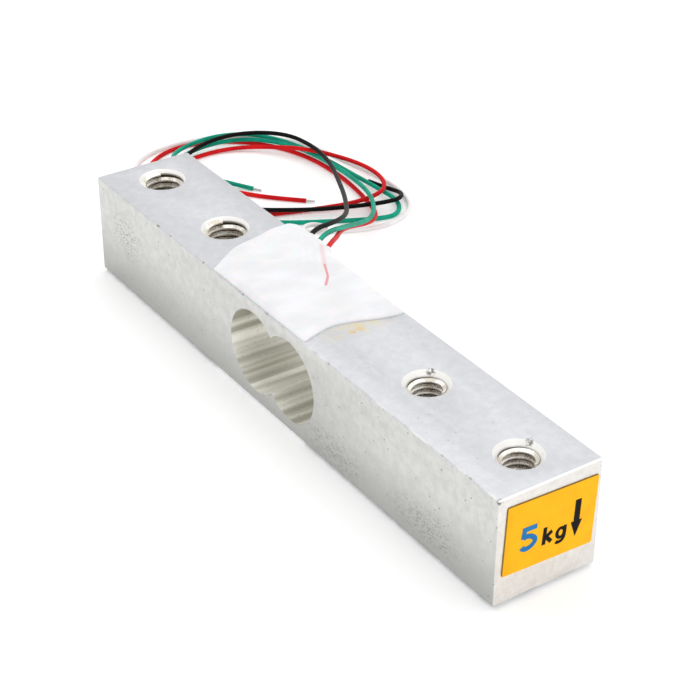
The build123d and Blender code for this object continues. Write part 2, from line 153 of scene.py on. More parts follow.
def along(tree, axis, low, high, middle=None):
    """A mask that goes from 0 at low to 1 at high along one axis, in millimetres. With a middle, it
    goes by the distance from there, both ways."""
    where = add(tree, "ShaderNodeTexCoord")
    place = add(tree, "ShaderNodeSeparateXYZ", {"Vector": where.outputs["Object"]}).outputs[axis]
    if middle is not None:
        place = add(tree, "ShaderNodeMath", {0: place, 1: middle * MM}, operation="SUBTRACT")
        place = add(tree, "ShaderNodeMath", {0: place}, operation="ABSOLUTE")
    return add(tree, "ShaderNodeMapRange", {0: place, 1: low * MM, 2: high * MM}, **SMOOTH)


def meet(tree, *masks):
    """What all the masks share; a number among them weakens it."""
    shared = masks[0]
    for mask in masks[1:]:
        shared = add(tree, "ShaderNodeMath", {0: shared, 1: mask}, operation="MULTIPLY")
    return shared


def either(tree, *masks):
    """What any of the masks covers."""
    covered = masks[0]
    for mask in masks[1:]:
        covered = add(tree, "ShaderNodeMath", {0: covered, 1: mask}, operation="MAXIMUM")
    return covered


def lay(tree, under, code, *masks):
    """A colour laid over a tone where the masks meet."""
    return add(tree, "ShaderNodeMix", {
        0: meet(tree, *masks), 6: under, 7: srgb(code),
    }, data_type="RGBA")


def tones(tree, pattern, low, high, first, second):
    """One colour where a pattern is at low, and another where it is at high."""
    amount = add(tree, "ShaderNodeMapRange", {0: pattern, 1: low, 2: high}, **SMOOTH)
    return add(tree, "ShaderNodeMix", {
        0: amount, 6: srgb(first), 7: srgb(second),
    }, data_type="RGBA")


def spot(tree, centre, reach):
    """1 at a point on the piece and 0 past its reach, an ellipsoid in millimetres."""
    from_centre = moved(
        tree,
        stretch=tuple(PER_MM / size for size in reach),
        shift=tuple(-place / size for place, size in zip(centre, reach)),
    )
    length = add(tree, "ShaderNodeVectorMath", {0: from_centre}, operation="LENGTH")
    return add(tree, "ShaderNodeMapRange", {0: length, 1: 0.0, 2: 1.0, 3: 1.0, 4: 0.0}, **SMOOTH)


def streak(tree, start, stop, half_width):
    """1 along a line drawn on the top from start to stop and 0 beside it, in millimetres."""
    run = (stop[0] - start[0], stop[1] - start[1])
    turn = -math.atan2(run[1], run[0])
    middle = ((start[0] + stop[0]) / 2 * MM, (start[1] + stop[1]) / 2 * MM)
    shift = (
        middle[1] * math.sin(turn) - middle[0] * math.cos(turn),
        -middle[0] * math.sin(turn) - middle[1] * math.cos(turn),
        0.0,
    )
    half = math.hypot(*run) / 2
    on_line = moved(tree, turn=(0.0, 0.0, turn), shift=shift)
    from_middle = add(tree, "ShaderNodeVectorMath", {0: on_line}, operation="ABSOLUTE")
    axes = add(tree, "ShaderNodeSeparateXYZ", {"Vector": from_middle})
    beside = add(tree, "ShaderNodeMapRange", {
        0: axes.outputs["Y"], 1: half_width * MM, 2: 0.2 * half_width * MM,
    }, **SMOOTH)
    inside = add(tree, "ShaderNodeMapRange", {
        0: axes.outputs["X"], 1: (half + 0.25) * MM, 2: (half - 0.05) * MM,
    }, **SMOOTH)
    return meet(tree, beside, inside)


# What lies where on the bar: middles and reaches in millimetres
SCUFFED = [
    ((12.0, -HALF_WIDTH, 2.6), (8.5, 2.0, 3.6)),
    ((29.0, -HALF_WIDTH, 3.2), (9.0, 2.0, 3.4)),
    ((-33.0, -HALF_WIDTH, 8.0), (6.0, 2.0, 5.0)),
]
FLUX_SEEP = ((7.1, 0.1, TOP), (2.3, 5.6, 0.6))
FLUX_CORE = ((7.6, -0.3, TOP), (0.8, 1.6, 0.6))
# cutting oil in each countersink by the label, and a dent at the near top corner
SMUDGES = [
    ((18.3, 1.75, 12.85), (0.75, 0.75, 0.75)),
    ((33.8, 2.25, 12.85), (0.7, 0.7, 0.7)),
    ((40.0, -6.2, 13.0), (0.6, 0.6, 0.6)),
]
HOLE_REACH = (3.0, 2.9)           # what counts as a hole, from its middle along X and Y
SINK_DEPTH = 0.7                  # past this depth, a hole's wall is painted dark brown as shade


def make_aluminium():
    """Aluminium bar, sawn, milled and tumbled: pale, matt and mottled, with fine pits, short
    scratches and grey scuffs on its sides, a cleaner top, bored stripes inside the cavity with
    painted reflection bands, and an amber trace of flux where the solder work ended. Light is also
    painted: shade towards the foot of the sides, a contact shadow line along it, a lighter end face,
    white countersinks, dark bores and highlights along the top edges."""
    material, tree, surface = new_material("aluminium_milled", Metallic=1.0)
    where = add(tree, "ShaderNodeTexCoord").outputs["Object"]
    normal = add(tree, "ShaderNodeNewGeometry").outputs["Normal"]
    facing = add(tree, "ShaderNodeSeparateXYZ", {"Vector": normal}).outputs["Z"]
    upward = add(tree, "ShaderNodeMapRange", {0: facing, 1: 0.6, 2: 0.95}, **SMOOTH)
    far_side = along(tree, "Y", HALF_WIDTH - 0.05, HALF_WIDTH - 0.01)
    side = along(tree, "Y", HALF_WIDTH - 0.05, HALF_WIDTH - 0.01, middle=0.0)
    end = along(tree, "X", HALF_LENGTH - 0.1, HALF_LENGTH - 0.03, middle=0.0)

    # the cavity: close round the axis of either bore, and within the bar's sides
    folded = add(tree, "ShaderNodeVectorMath", {0: where}, operation="ABSOLUTE")
    from_bore = add(tree, "ShaderNodeVectorMath", {
        0: folded, 1: (CAVITY_OFFSET * MM, 0.0, MIDDLE * MM),
    }, operation="SUBTRACT")
    across = add(tree, "ShaderNodeVectorMath", {
        0: from_bore, 1: (1.0, 0.0, 1.0),
    }, operation="MULTIPLY")
    ring = add(tree, "ShaderNodeVectorMath", {0: across}, operation="LENGTH")
    by_bore = add(tree, "ShaderNodeMapRange", {
        0: ring, 1: (CAVITY_RADIUS + 0.25) * MM, 2: (CAVITY_RADIUS + 0.1) * MM,
    }, **SMOOTH)
    in_cavity = meet(
        tree, by_bore, along(tree, "Y", HALF_WIDTH - 0.02, HALF_WIDTH - 0.07, middle=0.0))

    # the holes: the bar is folded over its middle and over each pair's middle, so that one hole is
    # left to find
    pair_middle = (INNER_HOLE + OUTER_HOLE) / 2
    for middle in ((pair_middle, 0.0, MIDDLE), (OUTER_HOLE - pair_middle, 0.0, 0.0)):
        from_middle = add(tree, "ShaderNodeVectorMath", {
            0: folded, 1: tuple(value * MM for value in middle),
        }, operation="SUBTRACT")
        folded = add(tree, "ShaderNodeVectorMath", {0: from_middle}, operation="ABSOLUTE")
    from_hole = add(tree, "ShaderNodeSeparateXYZ", {"Vector": folded})
    in_hole, in_bore = [
        meet(tree, *[
            add(tree, "ShaderNodeMapRange", {
                0: from_hole.outputs[axis], 1: (reach + ramp) * MM, 2: reach * MM,
            }, **SMOOTH)
            for axis, reach, ramp in (("X", HOLE_REACH[0], 0.1), ("Y", HOLE_REACH[1], 0.05), height)
        ])
        for height in (("Z", HALF_HEIGHT - 0.03, 0.02), ("Z", HALF_HEIGHT - SINK_DEPTH, 0.3))
    ]

    # mottle of the tumbled skin in blotches of about 1.1 mm, stronger on the sides, which are
    # painted greyer towards the foot as shade near the table; the grit's marks are drawn at 0.2 mm,
    # coarser than they are, to show
    mottle = grain(tree, 0.9, 5.0, 0.74)
    fine = grain(tree, 5.5, 4.0, 0.7)
    top_tone = tones(tree, mottle, 0.32, 0.7, "CDCED1", "D6D7DA")
    side_tone = tones(tree, mottle, 0.34, 0.64, "CBCBC9", "D7D7D4")
    # painted shade: the sides darken towards the foot, where light falls off near the table
    side_tone = lay(tree, side_tone, "B5B5B2", along(tree, "Z", 9.5, 0.6), 0.95)
    # painted light: the end face is lighter and warmer, as the face lit from the load end
    lit_end_tone = tones(tree, mottle, 0.3, 0.66, "DCD8D3", "E8E6E2")
    tone = add(tree, "ShaderNodeMix", {0: side, 6: top_tone, 7: side_tone}, data_type="RGBA")
    tone = add(tree, "ShaderNodeMix", {0: end, 6: tone, 7: lit_end_tone}, data_type="RGBA")

    # bored stripes along the cavity's wall, about 1.6 mm apart, painted from grey to near white as
    # reflection bands too
    stripes = grain(tree, 0.62, 2.0, 0.45, stretch=(1.0, 0.02, 1.0))
    wall_tone_and_reflections = tones(tree, stripes, 0.38, 0.62, "B4B3A6", "FFFEF7")
    tone = add(tree, "ShaderNodeMix", {0: in_cavity, 6: tone, 7: wall_tone_and_reflections}, data_type="RGBA")
    # countersinks are painted near white as a reflection; the bored wall between the threads is
    # painted dark brown as shade deep in the hole
    tone = lay(tree, tone, "F4F2EE", in_hole)
    tone = lay(tree, tone, "3E352B", in_bore)

    # grey scuffs: thin scribbled strokes, 0.6 mm apart, that gather in patches on the sides
    scribble = grain(tree, 1.7, 5.0, 0.62, stretch=(0.55, 1.0, 1.6), turn=(0.0, 0.6, 0.0))
    off_line = add(tree, "ShaderNodeMath", {0: scribble, 1: 0.5}, operation="SUBTRACT")
    off_line = add(tree, "ShaderNodeMath", {0: off_line}, operation="ABSOLUTE")
    stroke = add(tree, "ShaderNodeMapRange", {0: off_line, 1: 0.022, 2: 0.004}, **SMOOTH)
    blotches = add(tree, "ShaderNodeMapRange", {0: mottle, 1: 0.5, 2: 0.66}, **SMOOTH)
    patches = either(
        tree, *[spot(tree, *patch) for patch in SCUFFED], meet(tree, far_side, blotches))
    not_top = either(tree, side, meet(tree, end, 0.7))
    tone = lay(tree, tone, "666562", stroke, patches, not_top, 0.95)

    # pits: small dark specks, denser on the sides, one in every 0.8 mm at most
    cells = add(tree, "ShaderNodeTexVoronoi", {
        "Vector": where, "Scale": 1.25 * PER_MM, "Randomness": 1.0,
    })
    lot = add(tree, "ShaderNodeSeparateColor", {0: cells.outputs["Color"]}).outputs[0]
    chosen = add(tree, "ShaderNodeMapRange", {0: lot, 1: 0.62, 2: 0.66}, **SMOOTH)
    hollow = add(tree, "ShaderNodeMapRange", {
        0: cells.outputs["Distance"], 1: 0.17, 2: 0.07,
    }, **SMOOTH)
    pit = meet(tree, hollow, chosen)
    pit_share = add(tree, "ShaderNodeMath", {0: side, 1: 0.6, 2: 0.14}, operation="MULTIPLY_ADD")
    outside = add(tree, "ShaderNodeMath", {0: 1.0, 1: in_cavity}, operation="SUBTRACT")
    tone = lay(tree, tone, "77756F", pit, pit_share, outside)

    # flux that seeped past the sealant's rim in runs of about 1 mm, amber with one orange core
    wander = grain(tree, 0.9, 4.0, 0.6)
    thin = add(tree, "ShaderNodeMapRange", {0: wander, 1: 0.36, 2: 0.6}, **SMOOTH)
    thick = add(tree, "ShaderNodeMapRange", {0: wander, 1: 0.4, 2: 0.55}, **SMOOTH)
    tone = lay(tree, tone, "DACB9E", spot(tree, *FLUX_SEEP), thin, upward, 0.75)
    tone = lay(tree, tone, "DDB06A", spot(tree, *FLUX_CORE), thick, 0.6)

    broken = add(tree, "ShaderNodeMapRange", {
        0: grain(tree, 2.6, 3.0, 0.6), 1: 0.38, 2: 0.56,
    }, **SMOOTH)
    for smudge in SMUDGES:
        mark = add(tree, "ShaderNodeMapRange", {0: spot(tree, *smudge), 1: 0.05, 2: 0.6}, **SMOOTH)
        tone = lay(tree, tone, "5F5C56", mark, broken, 0.85)

    # long edges: a few dark nicks and, along the near top one, worn stretches painted bright as a
    # highlight;
    # a painted highlight along the rim above the label, and a painted contact shadow as a dark,
    # broken line along the foot
    rim = meet(tree, along(tree, "Y", 0.25 - HALF_WIDTH, 0.05 - HALF_WIDTH),
               along(tree, "Z", TOP - 0.18, TOP - 0.08))
    nicks = grain(tree, 0.75, 4.0, 0.7, stretch=(1.0, 0.2, 0.2))
    nicked = add(tree, "ShaderNodeMapRange", {0: nicks, 1: 0.56, 2: 0.64}, **SMOOTH)
    tone = lay(tree, tone, "8B8984", rim, nicked)
    worn_highlight_stretches = add(tree, "ShaderNodeMapRange", {
        0: grain(tree, 0.3, 4.0, 0.6, stretch=(1.0, 0.2, 0.2)), 1: 0.42, 2: 0.62,
    }, **SMOOTH)
    # painted highlight along the top edge of the end face, and on worn stretches of the near top
    # edge
    end_rim_highlight = meet(tree, along(tree, "X", HALF_LENGTH - 0.18, HALF_LENGTH - 0.12),
                   along(tree, "Z", TOP - 0.2, TOP - 0.14))
    edge_highlight = either(tree, end_rim_highlight, meet(tree, rim, worn_highlight_stretches, along(tree, "X", 2.0, 9.0), 0.6))
    tone = lay(tree, tone, "FFFFFF", edge_highlight, 0.9)
    # painted contact shadow: a dark, broken line along the foot
    foot = along(tree, "Z", UNDERSIDE + 0.35, UNDERSIDE + 0.02)
    foot_shadow_breaks = add(tree, "ShaderNodeMapRange", {0: nicks, 1: 0.4, 2: 0.6}, **SMOOTH)
    tone = lay(tree, tone, "7A7976", foot, foot_shadow_breaks, 0.7)

    rough = add(tree, "ShaderNodeMapRange", {0: fine, 1: 0.3, 2: 0.7, 3: 0.40, 4: 0.54}, **SMOOTH)
    for mask, less in ((in_cavity, -0.14), (in_hole, -0.12)):
        rough = add(tree, "ShaderNodeMath", {0: mask, 1: less, 2: rough}, operation="MULTIPLY_ADD")
    # oxide and dust in the bores scatter light as paint would
    dull = either(tree, *[
        meet(tree, mask, share) for mask, share in ((in_cavity, 0.5), (in_hole, 0.35), (edge_highlight, 0.6))
    ])
    metal = add(tree, "ShaderNodeMath", {0: 1.0, 1: dull}, operation="SUBTRACT")

    unpitted = add(tree, "ShaderNodeMath", {0: 1.0, 1: pit}, operation="SUBTRACT")
    relief = None
    for height, strength, depth in (
            (fine, 0.30, 0.03), (mottle, 0.15, 0.06), (unpitted, 0.5, 0.05),
            (stripes, meet(tree, in_cavity, 0.6), 0.12)):
        inputs = {"Height": height, "Strength": strength, "Distance": depth * MM}
        if relief is not None:
            inputs["Normal"] = relief
        relief = add(tree, "ShaderNodeBump", inputs)
    feed(tree, surface, {
        "Base Color": tone, "Roughness": rough, "Metallic": metal, "Normal": relief,
    })
    return material


def make_thread_metal():
    """Cut thread in the same bar: crests painted near white as glints, with patches of oil about a
    millimetre wide. The cutter's marks are drawn at 0.15 mm, coarser than they are."""
    material, tree, surface = new_material("aluminium_cut_thread", Metallic=0.7, Roughness=0.3)
    fine = grain(tree, 7.0, 3.0, 0.6)
    feed(tree, surface, {
        # painted highlight: the crests are toned near white as glints
        "Base Color": tones(tree, grain(tree, 0.9, 3.0, 0.6), 0.4, 0.6, "D8D0C2", "FFFCF6"),
        "Roughness": add(tree, "ShaderNodeMapRange", {
            0: fine, 1: 0.3, 2: 0.7, 3: 0.22, 4: 0.4,
        }, **SMOOTH),
        "Normal": add(tree, "ShaderNodeBump", {
            "Height": fine, "Strength": 0.12, "Distance": 0.01 * MM,
        }),
    })
    return material


# How the red lead shows through the silicone: start, stop, half width and strength of each stretch
RED_SHOWING = [
    ((-5.0, 4.0), (-2.5, 2.8), 0.2, 0.7),
    ((-2.5, 2.8), (-1.1, 1.6), 0.24, 0.7),
    ((-9.0, 6.2), (-4.6, 3.8), 0.4, 0.2),
]


def make_silicone():
    """White one-part silicone, spread by hand over the gauges: nearly pure white, soft and a
    little see-through, with faint lumps 3 mm across and a fine skin of 0.25 mm, and the red lead
    showing through near its surface."""
    material, tree, surface = new_material(
        "silicone_white", Roughness=0.38, IOR=1.41, Subsurface_Weight=0.35,
        Subsurface_Scale=0.4 * MM, Specular_IOR_Level=0.4,
    )
    lumps = grain(tree, 0.35, 3.0, 0.5, stretch=(1.0, 0.6, 1.0))
    fine = grain(tree, 4.0, 3.0, 0.6)
    tone = tones(tree, lumps, 0.3, 0.7, "E2E2E4", "EBEBED")
    # the lead's end lies shallow, and sinks from sight towards the far edge
    showing = either(tree, *[
        meet(tree, streak(tree, start, stop, half_width), strength)
        for start, stop, half_width, strength in RED_SHOWING
    ])
    soft = add(tree, "ShaderNodeBump", {"Height": lumps, "Strength": 0.5, "Distance": 0.35 * MM})
    feed(tree, surface, {
        "Base Color": lay(tree, tone, "E0484F", showing),
        "Roughness": add(tree, "ShaderNodeMapRange", {
            0: fine, 1: 0.3, 2: 0.7, 3: 0.32, 4: 0.46,
        }, **SMOOTH),
        "Normal": add(tree, "ShaderNodeBump", {
            "Height": fine, "Strength": 0.12, "Distance": 0.02 * MM, "Normal": soft,
        }),
    })
    return material


LABEL_CENTRE = (40.1, 0.15, 7.64)
LABEL_TILT = math.radians(-2.4)
LABEL_HALF = (5.6, 4.05)
LABEL_EDGE_LINE = (0.13, 0.05)          # where the dark edge line begins and is full, in from the label's edges


def make_label_film():
    """Yellow vinyl film, printed and cut by hand: even and slightly glossy, with a thin dark line
    along its top and left edges, and darker towards the left. Its orange peel is 0.1 mm."""
    material, tree, surface = new_material(
        "label_vinyl", Roughness=0.34, IOR=1.5, Specular_IOR_Level=0.12)
    on_label = add(tree, "ShaderNodeMapping", {
        "Vector": add(tree, "ShaderNodeTexCoord").outputs["Object"],
        "Location": tuple(place * MM for place in LABEL_CENTRE),
        "Rotation": (LABEL_TILT, 0.0, 0.0),
    }, vector_type="TEXTURE")
    axes = add(tree, "ShaderNodeSeparateXYZ", {"Vector": on_label})
    left, top_edge_line, left_edge_line = [
        add(tree, "ShaderNodeMapRange", {
            0: axes.outputs[axis], 1: low * MM, 2: high * MM,
        }, **SMOOTH)
        for axis, low, high in (
            ("Y", -4.2, -LABEL_HALF[0]),
            ("Z", LABEL_HALF[1] - LABEL_EDGE_LINE[0], LABEL_HALF[1] - LABEL_EDGE_LINE[1]),
            ("Y", LABEL_EDGE_LINE[0] - LABEL_HALF[0], LABEL_EDGE_LINE[1] - LABEL_HALF[0]),
        )
    ]
    fibre = grain(tree, 9.0, 3.0, 0.6)
    tone = tones(tree, grain(tree, 0.5, 4.0, 0.6), 0.3, 0.7, "F4AE00", "F9B703")
    # the left part of the label is darker
    tone = lay(tree, tone, "D99F06", left, 0.35)
    # a thin dark line along the label's top and left edges
    tone = lay(tree, tone, "4A3A18", either(tree, top_edge_line, left_edge_line), 0.8)
    feed(tree, surface, {
        "Base Color": tone,
        "Roughness": add(tree, "ShaderNodeMapRange", {
            0: fibre, 1: 0.3, 2: 0.7, 3: 0.28, 4: 0.42,
        }, **SMOOTH),
        "Normal": add(tree, "ShaderNodeBump", {
            "Height": fibre, "Strength": 0.15, "Distance": 0.01 * MM,
        }),
    })
    return material


def make_plain(name, dark, light, per_mm, rough, depth, stretch=(1.0, 1.0, 1.0), **shader):
    """A finish that wanders between two tones, with a grain of so many features to the millimetre
    and so deep in millimetres; what each is stands where it is called."""
    material, tree, surface = new_material(name, **shader)
    fine = grain(tree, per_mm, 4.0, 0.6, stretch=stretch)
    feed(tree, surface, {
        "Base Color": tones(
            tree, grain(tree, per_mm / 8, 3.0, 0.5, stretch=stretch), 0.3, 0.7, dark, light),
        "Roughness": add(tree, "ShaderNodeMapRange", {
            0: fine, 1: 0.3, 2: 0.7, 3: rough - 0.06, 4: rough + 0.06,
        }, **SMOOTH),
        "Normal": add(tree, "ShaderNodeBump", {
            "Height": fine, "Strength": 0.3, "Distance": depth * MM,
        }),
    })
    return material


def make_insulation(colour, dark, light):
    """Soft PVC insulation, drawn smooth: one clear colour, nearly matt, as the thin leads look."""
    return make_plain(
        "insulation_pvc_" + colour, dark, light, 3.0, 0.5, 0.01, Specular_IOR_Level=0.1)


aluminium = make_aluminium()
cut_thread = make_thread_metal()
silicone = make_silicone()
label_film = make_label_film()
# screen-printed ink on the film: flat and a little duller than the vinyl
ink_blue = make_plain("ink_blue", "0F6CA6", "1A77B2", 6.0, 0.42, 0.008, Specular_IOR_Level=0.12)
ink_black = make_plain("ink_black", "060606", "0D0D0D", 6.0, 0.42, 0.008, Specular_IOR_Level=0.08)
insulation = {
    "red": make_insulation("red", "C00C13", "D5161A"),
    "green": make_insulation("green", "078B71", "0FA386"),
    "black": make_insulation("black", "030303", "090909"),
    "white": make_insulation("white", "E4E0DF", "F0ECEB"),
}
# stranded copper dipped in solder: grey, uneven and fairly bright
tinned_copper = make_plain("copper_tinned", "A9A9A6", "D6D6D2", 7.0, 0.34, 0.02, Metallic=1.0)
# polyimide carrier of the gauges: clear amber plastic film
polyimide = make_plain("film_polyimide", "A9641B", "C98330", 2.0, 0.3, 0.005)
# etched constantan foil: thin matt metal with a warm cast
constantan = make_plain("foil_constantan", "A58F78", "C7B39B", 5.0, 0.36, 0.005, Metallic=1.0)
# woven glass laminate of the solder strips: pale green board with a faint weave
laminate = make_plain("laminate_glass", "8C9A5B", "A9B476", 4.0, 0.5, 0.01, stretch=(1.0, 3.0, 1.0))
# copper pads, flashed with flux
pad_copper = make_plain("copper_pad", "A65F36", "C9825A", 4.0, 0.35, 0.008, Metallic=1.0)
# solder, cooled in a dome: bright with frosty patches
solder = make_plain("solder_tin", "9D9E9F", "D3D4D5", 3.0, 0.26, 0.02, Metallic=1.0)
# enamelled copper wire: lacquered red-brown
enamelled = make_plain("wire_enamelled", "7E3014", "A3471F", 5.0, 0.22, 0.005, Metallic=0.6)

CAD_FINISHES = [
    ("beam", aluminium), ("sealant", silicone), ("rating_label", label_film),
    ("label_numeral", ink_blue), ("label_unit", ink_black), ("load_arrow", ink_black),
    ("tip_", tinned_copper), ("gauge_film", polyimide), ("gauge_grid", constantan),
    ("terminal_strip", laminate), ("terminal_pads", pad_copper), ("solder_joints", solder),
    ("gauge_jumpers", enamelled), ("bridge_wires", enamelled),
]
CAD_FINISHES += [("lead_" + colour, material) for colour, material in insulation.items()]


def dress_nodes():
    """Every CAD node gets the finish that its name calls for."""
    for name, node in nodes.items():
        material = next(material for start, material in CAD_FINISHES if name.startswith(start))
        if not node.data.materials:
            node.data.materials.append(material)
        for number in range(len(node.data.materials)):
            node.data.materials[number] = material


dress_nodes()

# Leads

LEAD_WIDTH = 0.6
# the CAD's route points, in millimetres; the curve takes them as its control points
LEADS = {
    "red": (194.8, [
        (-2.1, 2.6, 13.57), (-5.0, 4.1, 13.57), (-7.9, 5.9, 13.57), (-10.2, 8.4, 13.1),
        (-13.4, 11.2, 11.4), (-17.2, 14.2, 9.6), (-20.6, 17.3, 7.6), (-23.5, 20.5, 5.7),
        (-25.9, 23.8, 3.9), (-28.4, 27.0, 2.4), (-31.6, 29.7, 1.2), (-35.6, 31.5, 0.3),
        (-40.6, 32.5, 0.3), (-46.2, 32.9, 0.3), (-51.9, 32.5, 0.3), (-57.3, 30.7, 0.3),
        (-61.9, 27.2, 0.3), (-64.9, 22.4, 0.3), (-65.2, 16.8, 0.3), (-62.4, 12.2, 0.3),
        (-57.8, 9.6, 0.3), (-52.0, 8.8, 0.3), (-46.2, 10.0, 0.9), (-42.6, 13.4, 1.1),
        (-41.0, 17.6, 0.3), (-39.6, 21.6, 0.3), (-38.0, 25.2, 0.5), (-36.3, 28.8, 0.9),
        (-35.4, 32.2, 1.5), (-36.7, 34.8, 1.5), (-39.9, 36.2, 1.5), (-44.0, 36.1, 1.5),
        (-48.0, 34.2, 1.8), (-52.4, 31.7, 1.8), (-57.0, 29.1, 0.9), (-60.3, 25.2, 0.5),
        (-61.3, 20.4, 0.3), (-60.2, 15.8, 0.3), (-56.6, 14.2, 0.3), (-52.4, 16.0, 0.3),
        (-48.3, 18.6, 0.3), (-44.6, 21.4, 0.3), (-41.3, 24.9, 0.3),
    ]),
    "green": (190.4, [
        (-3.9, 2.6, 13.57), (-6.8, 4.1, 13.57), (-9.7, 5.9, 13.57), (-11.8, 8.2, 13.2),
        (-13.8, 10.8, 12.3), (-16.2, 13.6, 10.7), (-18.9, 16.5, 8.9), (-21.4, 19.4, 7.2),
        (-23.8, 22.6, 5.6), (-26.6, 25.6, 4.3), (-30.0, 28.2, 3.3), (-34.2, 30.6, 2.5),
        (-39.4, 32.3, 1.7), (-45.2, 33.0, 1.2), (-51.2, 32.8, 1.1), (-57.0, 31.2, 1.0),
        (-61.2, 27.4, 1.0), (-62.5, 22.0, 1.0), (-61.6, 16.2, 0.6), (-57.8, 11.6, 0.3),
        (-51.8, 10.2, 0.3), (-45.4, 11.2, 0.3), (-40.6, 15.0, 0.3), (-36.9, 20.0, 0.3),
        (-34.2, 25.0, 0.3), (-31.9, 29.4, 0.3), (-31.0, 32.9, 0.3), (-33.6, 34.9, 0.7),
        (-38.2, 34.4, 0.9), (-44.0, 34.0, 0.8), (-50.2, 34.0, 0.4), (-56.8, 32.8, 0.5),
        (-62.0, 29.4, 0.9), (-64.0, 24.4, 1.2), (-63.6, 18.8, 1.1), (-60.4, 14.6, 1.7),
        (-56.0, 14.4, 1.6), (-52.2, 17.6, 0.8), (-48.3, 20.8, 0.3),
    ]),
    "black": (130.0, [
        (-5.7, 2.6, 13.57), (-8.6, 4.1, 13.57), (-11.5, 5.9, 13.57), (-13.5, 8.4, 13.4),
        (-15.0, 11.6, 12.5), (-17.4, 14.8, 11.2), (-20.8, 17.7, 9.7), (-25.0, 20.4, 8.2),
        (-29.8, 23.3, 6.7), (-34.8, 26.0, 5.3), (-40.2, 28.8, 4.1), (-45.8, 31.2, 3.1),
        (-51.6, 32.4, 2.5), (-56.9, 31.8, 2.2), (-60.8, 28.4, 1.9), (-62.0, 23.4, 1.9),
        (-61.0, 18.0, 1.5), (-57.4, 13.4, 0.8), (-51.8, 11.6, 0.3), (-46.2, 13.0, 0.3),
        (-42.4, 16.2, 1.0), (-39.4, 20.0, 1.1), (-37.1, 24.2, 1.0), (-34.9, 28.4, 1.2),
        (-33.4, 31.8, 1.4), (-33.0, 34.5, 1.4), (-34.9, 36.3, 1.0), (-38.1, 36.2, 0.3),
        (-41.4, 35.2, 0.3),
    ]),
    "white": (137.6, [
        (-7.5, 2.6, 13.57), (-10.4, 4.1, 13.57), (-13.3, 5.9, 13.57), (-15.1, 8.2, 13.3),
        (-15.7, 10.8, 12.1), (-17.7, 12.7, 10.2), (-21.3, 13.0, 8.0), (-25.8, 12.1, 5.8),
        (-30.7, 10.9, 3.7), (-35.8, 9.8, 1.9), (-41.4, 8.8, 0.6), (-47.2, 7.9, 0.3),
        (-53.2, 7.6, 0.3), (-59.2, 8.4, 0.3), (-64.2, 11.2, 0.3), (-66.3, 16.4, 0.3),
        (-66.0, 22.4, 0.3), (-63.6, 27.8, 0.3), (-59.9, 32.4, 0.3), (-54.2, 35.0, 0.3),
        (-47.8, 36.2, 0.3), (-41.8, 37.3, 0.3), (-36.0, 37.3, 0.3), (-31.4, 35.4, 0.3),
        (-29.4, 31.2, 0.3), (-30.2, 26.4, 0.3), (-32.8, 21.8, 0.3), (-35.8, 17.2, 0.3),
    ]),
}


def make_lead(colour, route):
    """One lead: a smooth curve on the route's points."""
    data = bpy.data.curves.new("lead_" + colour + "_insulation", "CURVE")
    data.dimensions = "3D"
    data.resolution_u = 10
    data.bevel_depth = LEAD_WIDTH / 2 * MM
    data.bevel_resolution = 5
    data.use_fill_caps = True
    spline = data.splines.new("NURBS")
    spline.points.add(len(route) - 1)
    for point, place in zip(spline.points, route):
        point.co = (place[0] * MM, place[1] * MM, place[2] * MM, 1.0)
    spline.order_u = 3
    spline.use_endpoint_u = True
    data.materials.append(insulation[colour])
    lead = bpy.data.objects.new("lead_" + colour + "_insulation", data)
    bpy.context.scene.collection.objects.link(lead)
    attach(lead, "root")
    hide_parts("lead_" + colour)


for lead_colour, (lead_length, lead_route) in LEADS.items():
    make_lead(lead_colour, lead_route)

# Bar


def link(name, mesh, *materials):
    """A mesh as a linked object with its materials."""
    piece = bpy.data.objects.new(name, mesh)
    bpy.context.scene.collection.objects.link(piece)
    for material in materials:
        mesh.materials.append(material)
    return piece


def settled(piece):
    """The piece's mesh with its modifiers applied and taken off."""
    graph = bpy.context.evaluated_depsgraph_get()
    graph.update()
    mesh = bpy.data.meshes.new_from_object(piece.evaluated_get(graph))
    piece.modifiers.clear()
    piece.data = mesh
    mesh.name = piece.name
    return piece


def box_mesh(name, low, high):
    """A box between two corners, in millimetres."""
    mesh = bpy.data.meshes.new(name)
    shape = bmesh.new()
    bmesh.ops.create_cube(shape, size=1.0)
    for vertex in shape.verts:
        for axis in range(3):
            middle, size = (low[axis] + high[axis]) / 2, high[axis] - low[axis]
            vertex.co[axis] = (middle + vertex.co[axis] * size) * MM
    shape.to_mesh(mesh)
    shape.free()
    return mesh


def turned_mesh(name, rings, sides, place, along_y=False):
    """A closed turned solid: rings of (radius, height) about Z, or about Y, in millimetres."""
    mesh = bpy.data.meshes.new(name)
    shape = bmesh.new()
    loops = []
    for radius, height in rings:
        loop = []
        for side in range(sides):
            angle = 2 * math.pi * side / sides
            across, over = radius * math.cos(angle), radius * math.sin(angle)
            corner = (across, height, -over) if along_y else (across, over, height)
            loop.append(shape.verts.new([(a + b) * MM for a, b in zip(corner, place)]))
        loops.append(loop)
    for lower, upper in zip(loops, loops[1:]):
        for side in range(sides):
            following = (side + 1) % sides
            shape.faces.new((lower[side], lower[following], upper[following], upper[side]))
    shape.faces.new(list(reversed(loops[0])))
    shape.faces.new(loops[-1])
    bmesh.ops.recalc_face_normals(shape, faces=shape.faces)
    shape.to_mesh(mesh)
    shape.free()
    return mesh


OVERCUT = 1.0            # how far a hole's cutter stands out of the bar
CAVITY_CUT = 8.0         # half the length of the cavity's cutters
HOLE_SIDES, CAVITY_SIDES = 96, 128
RIM_BREAK = 0.06         # bevel on the edges that the cutters leave


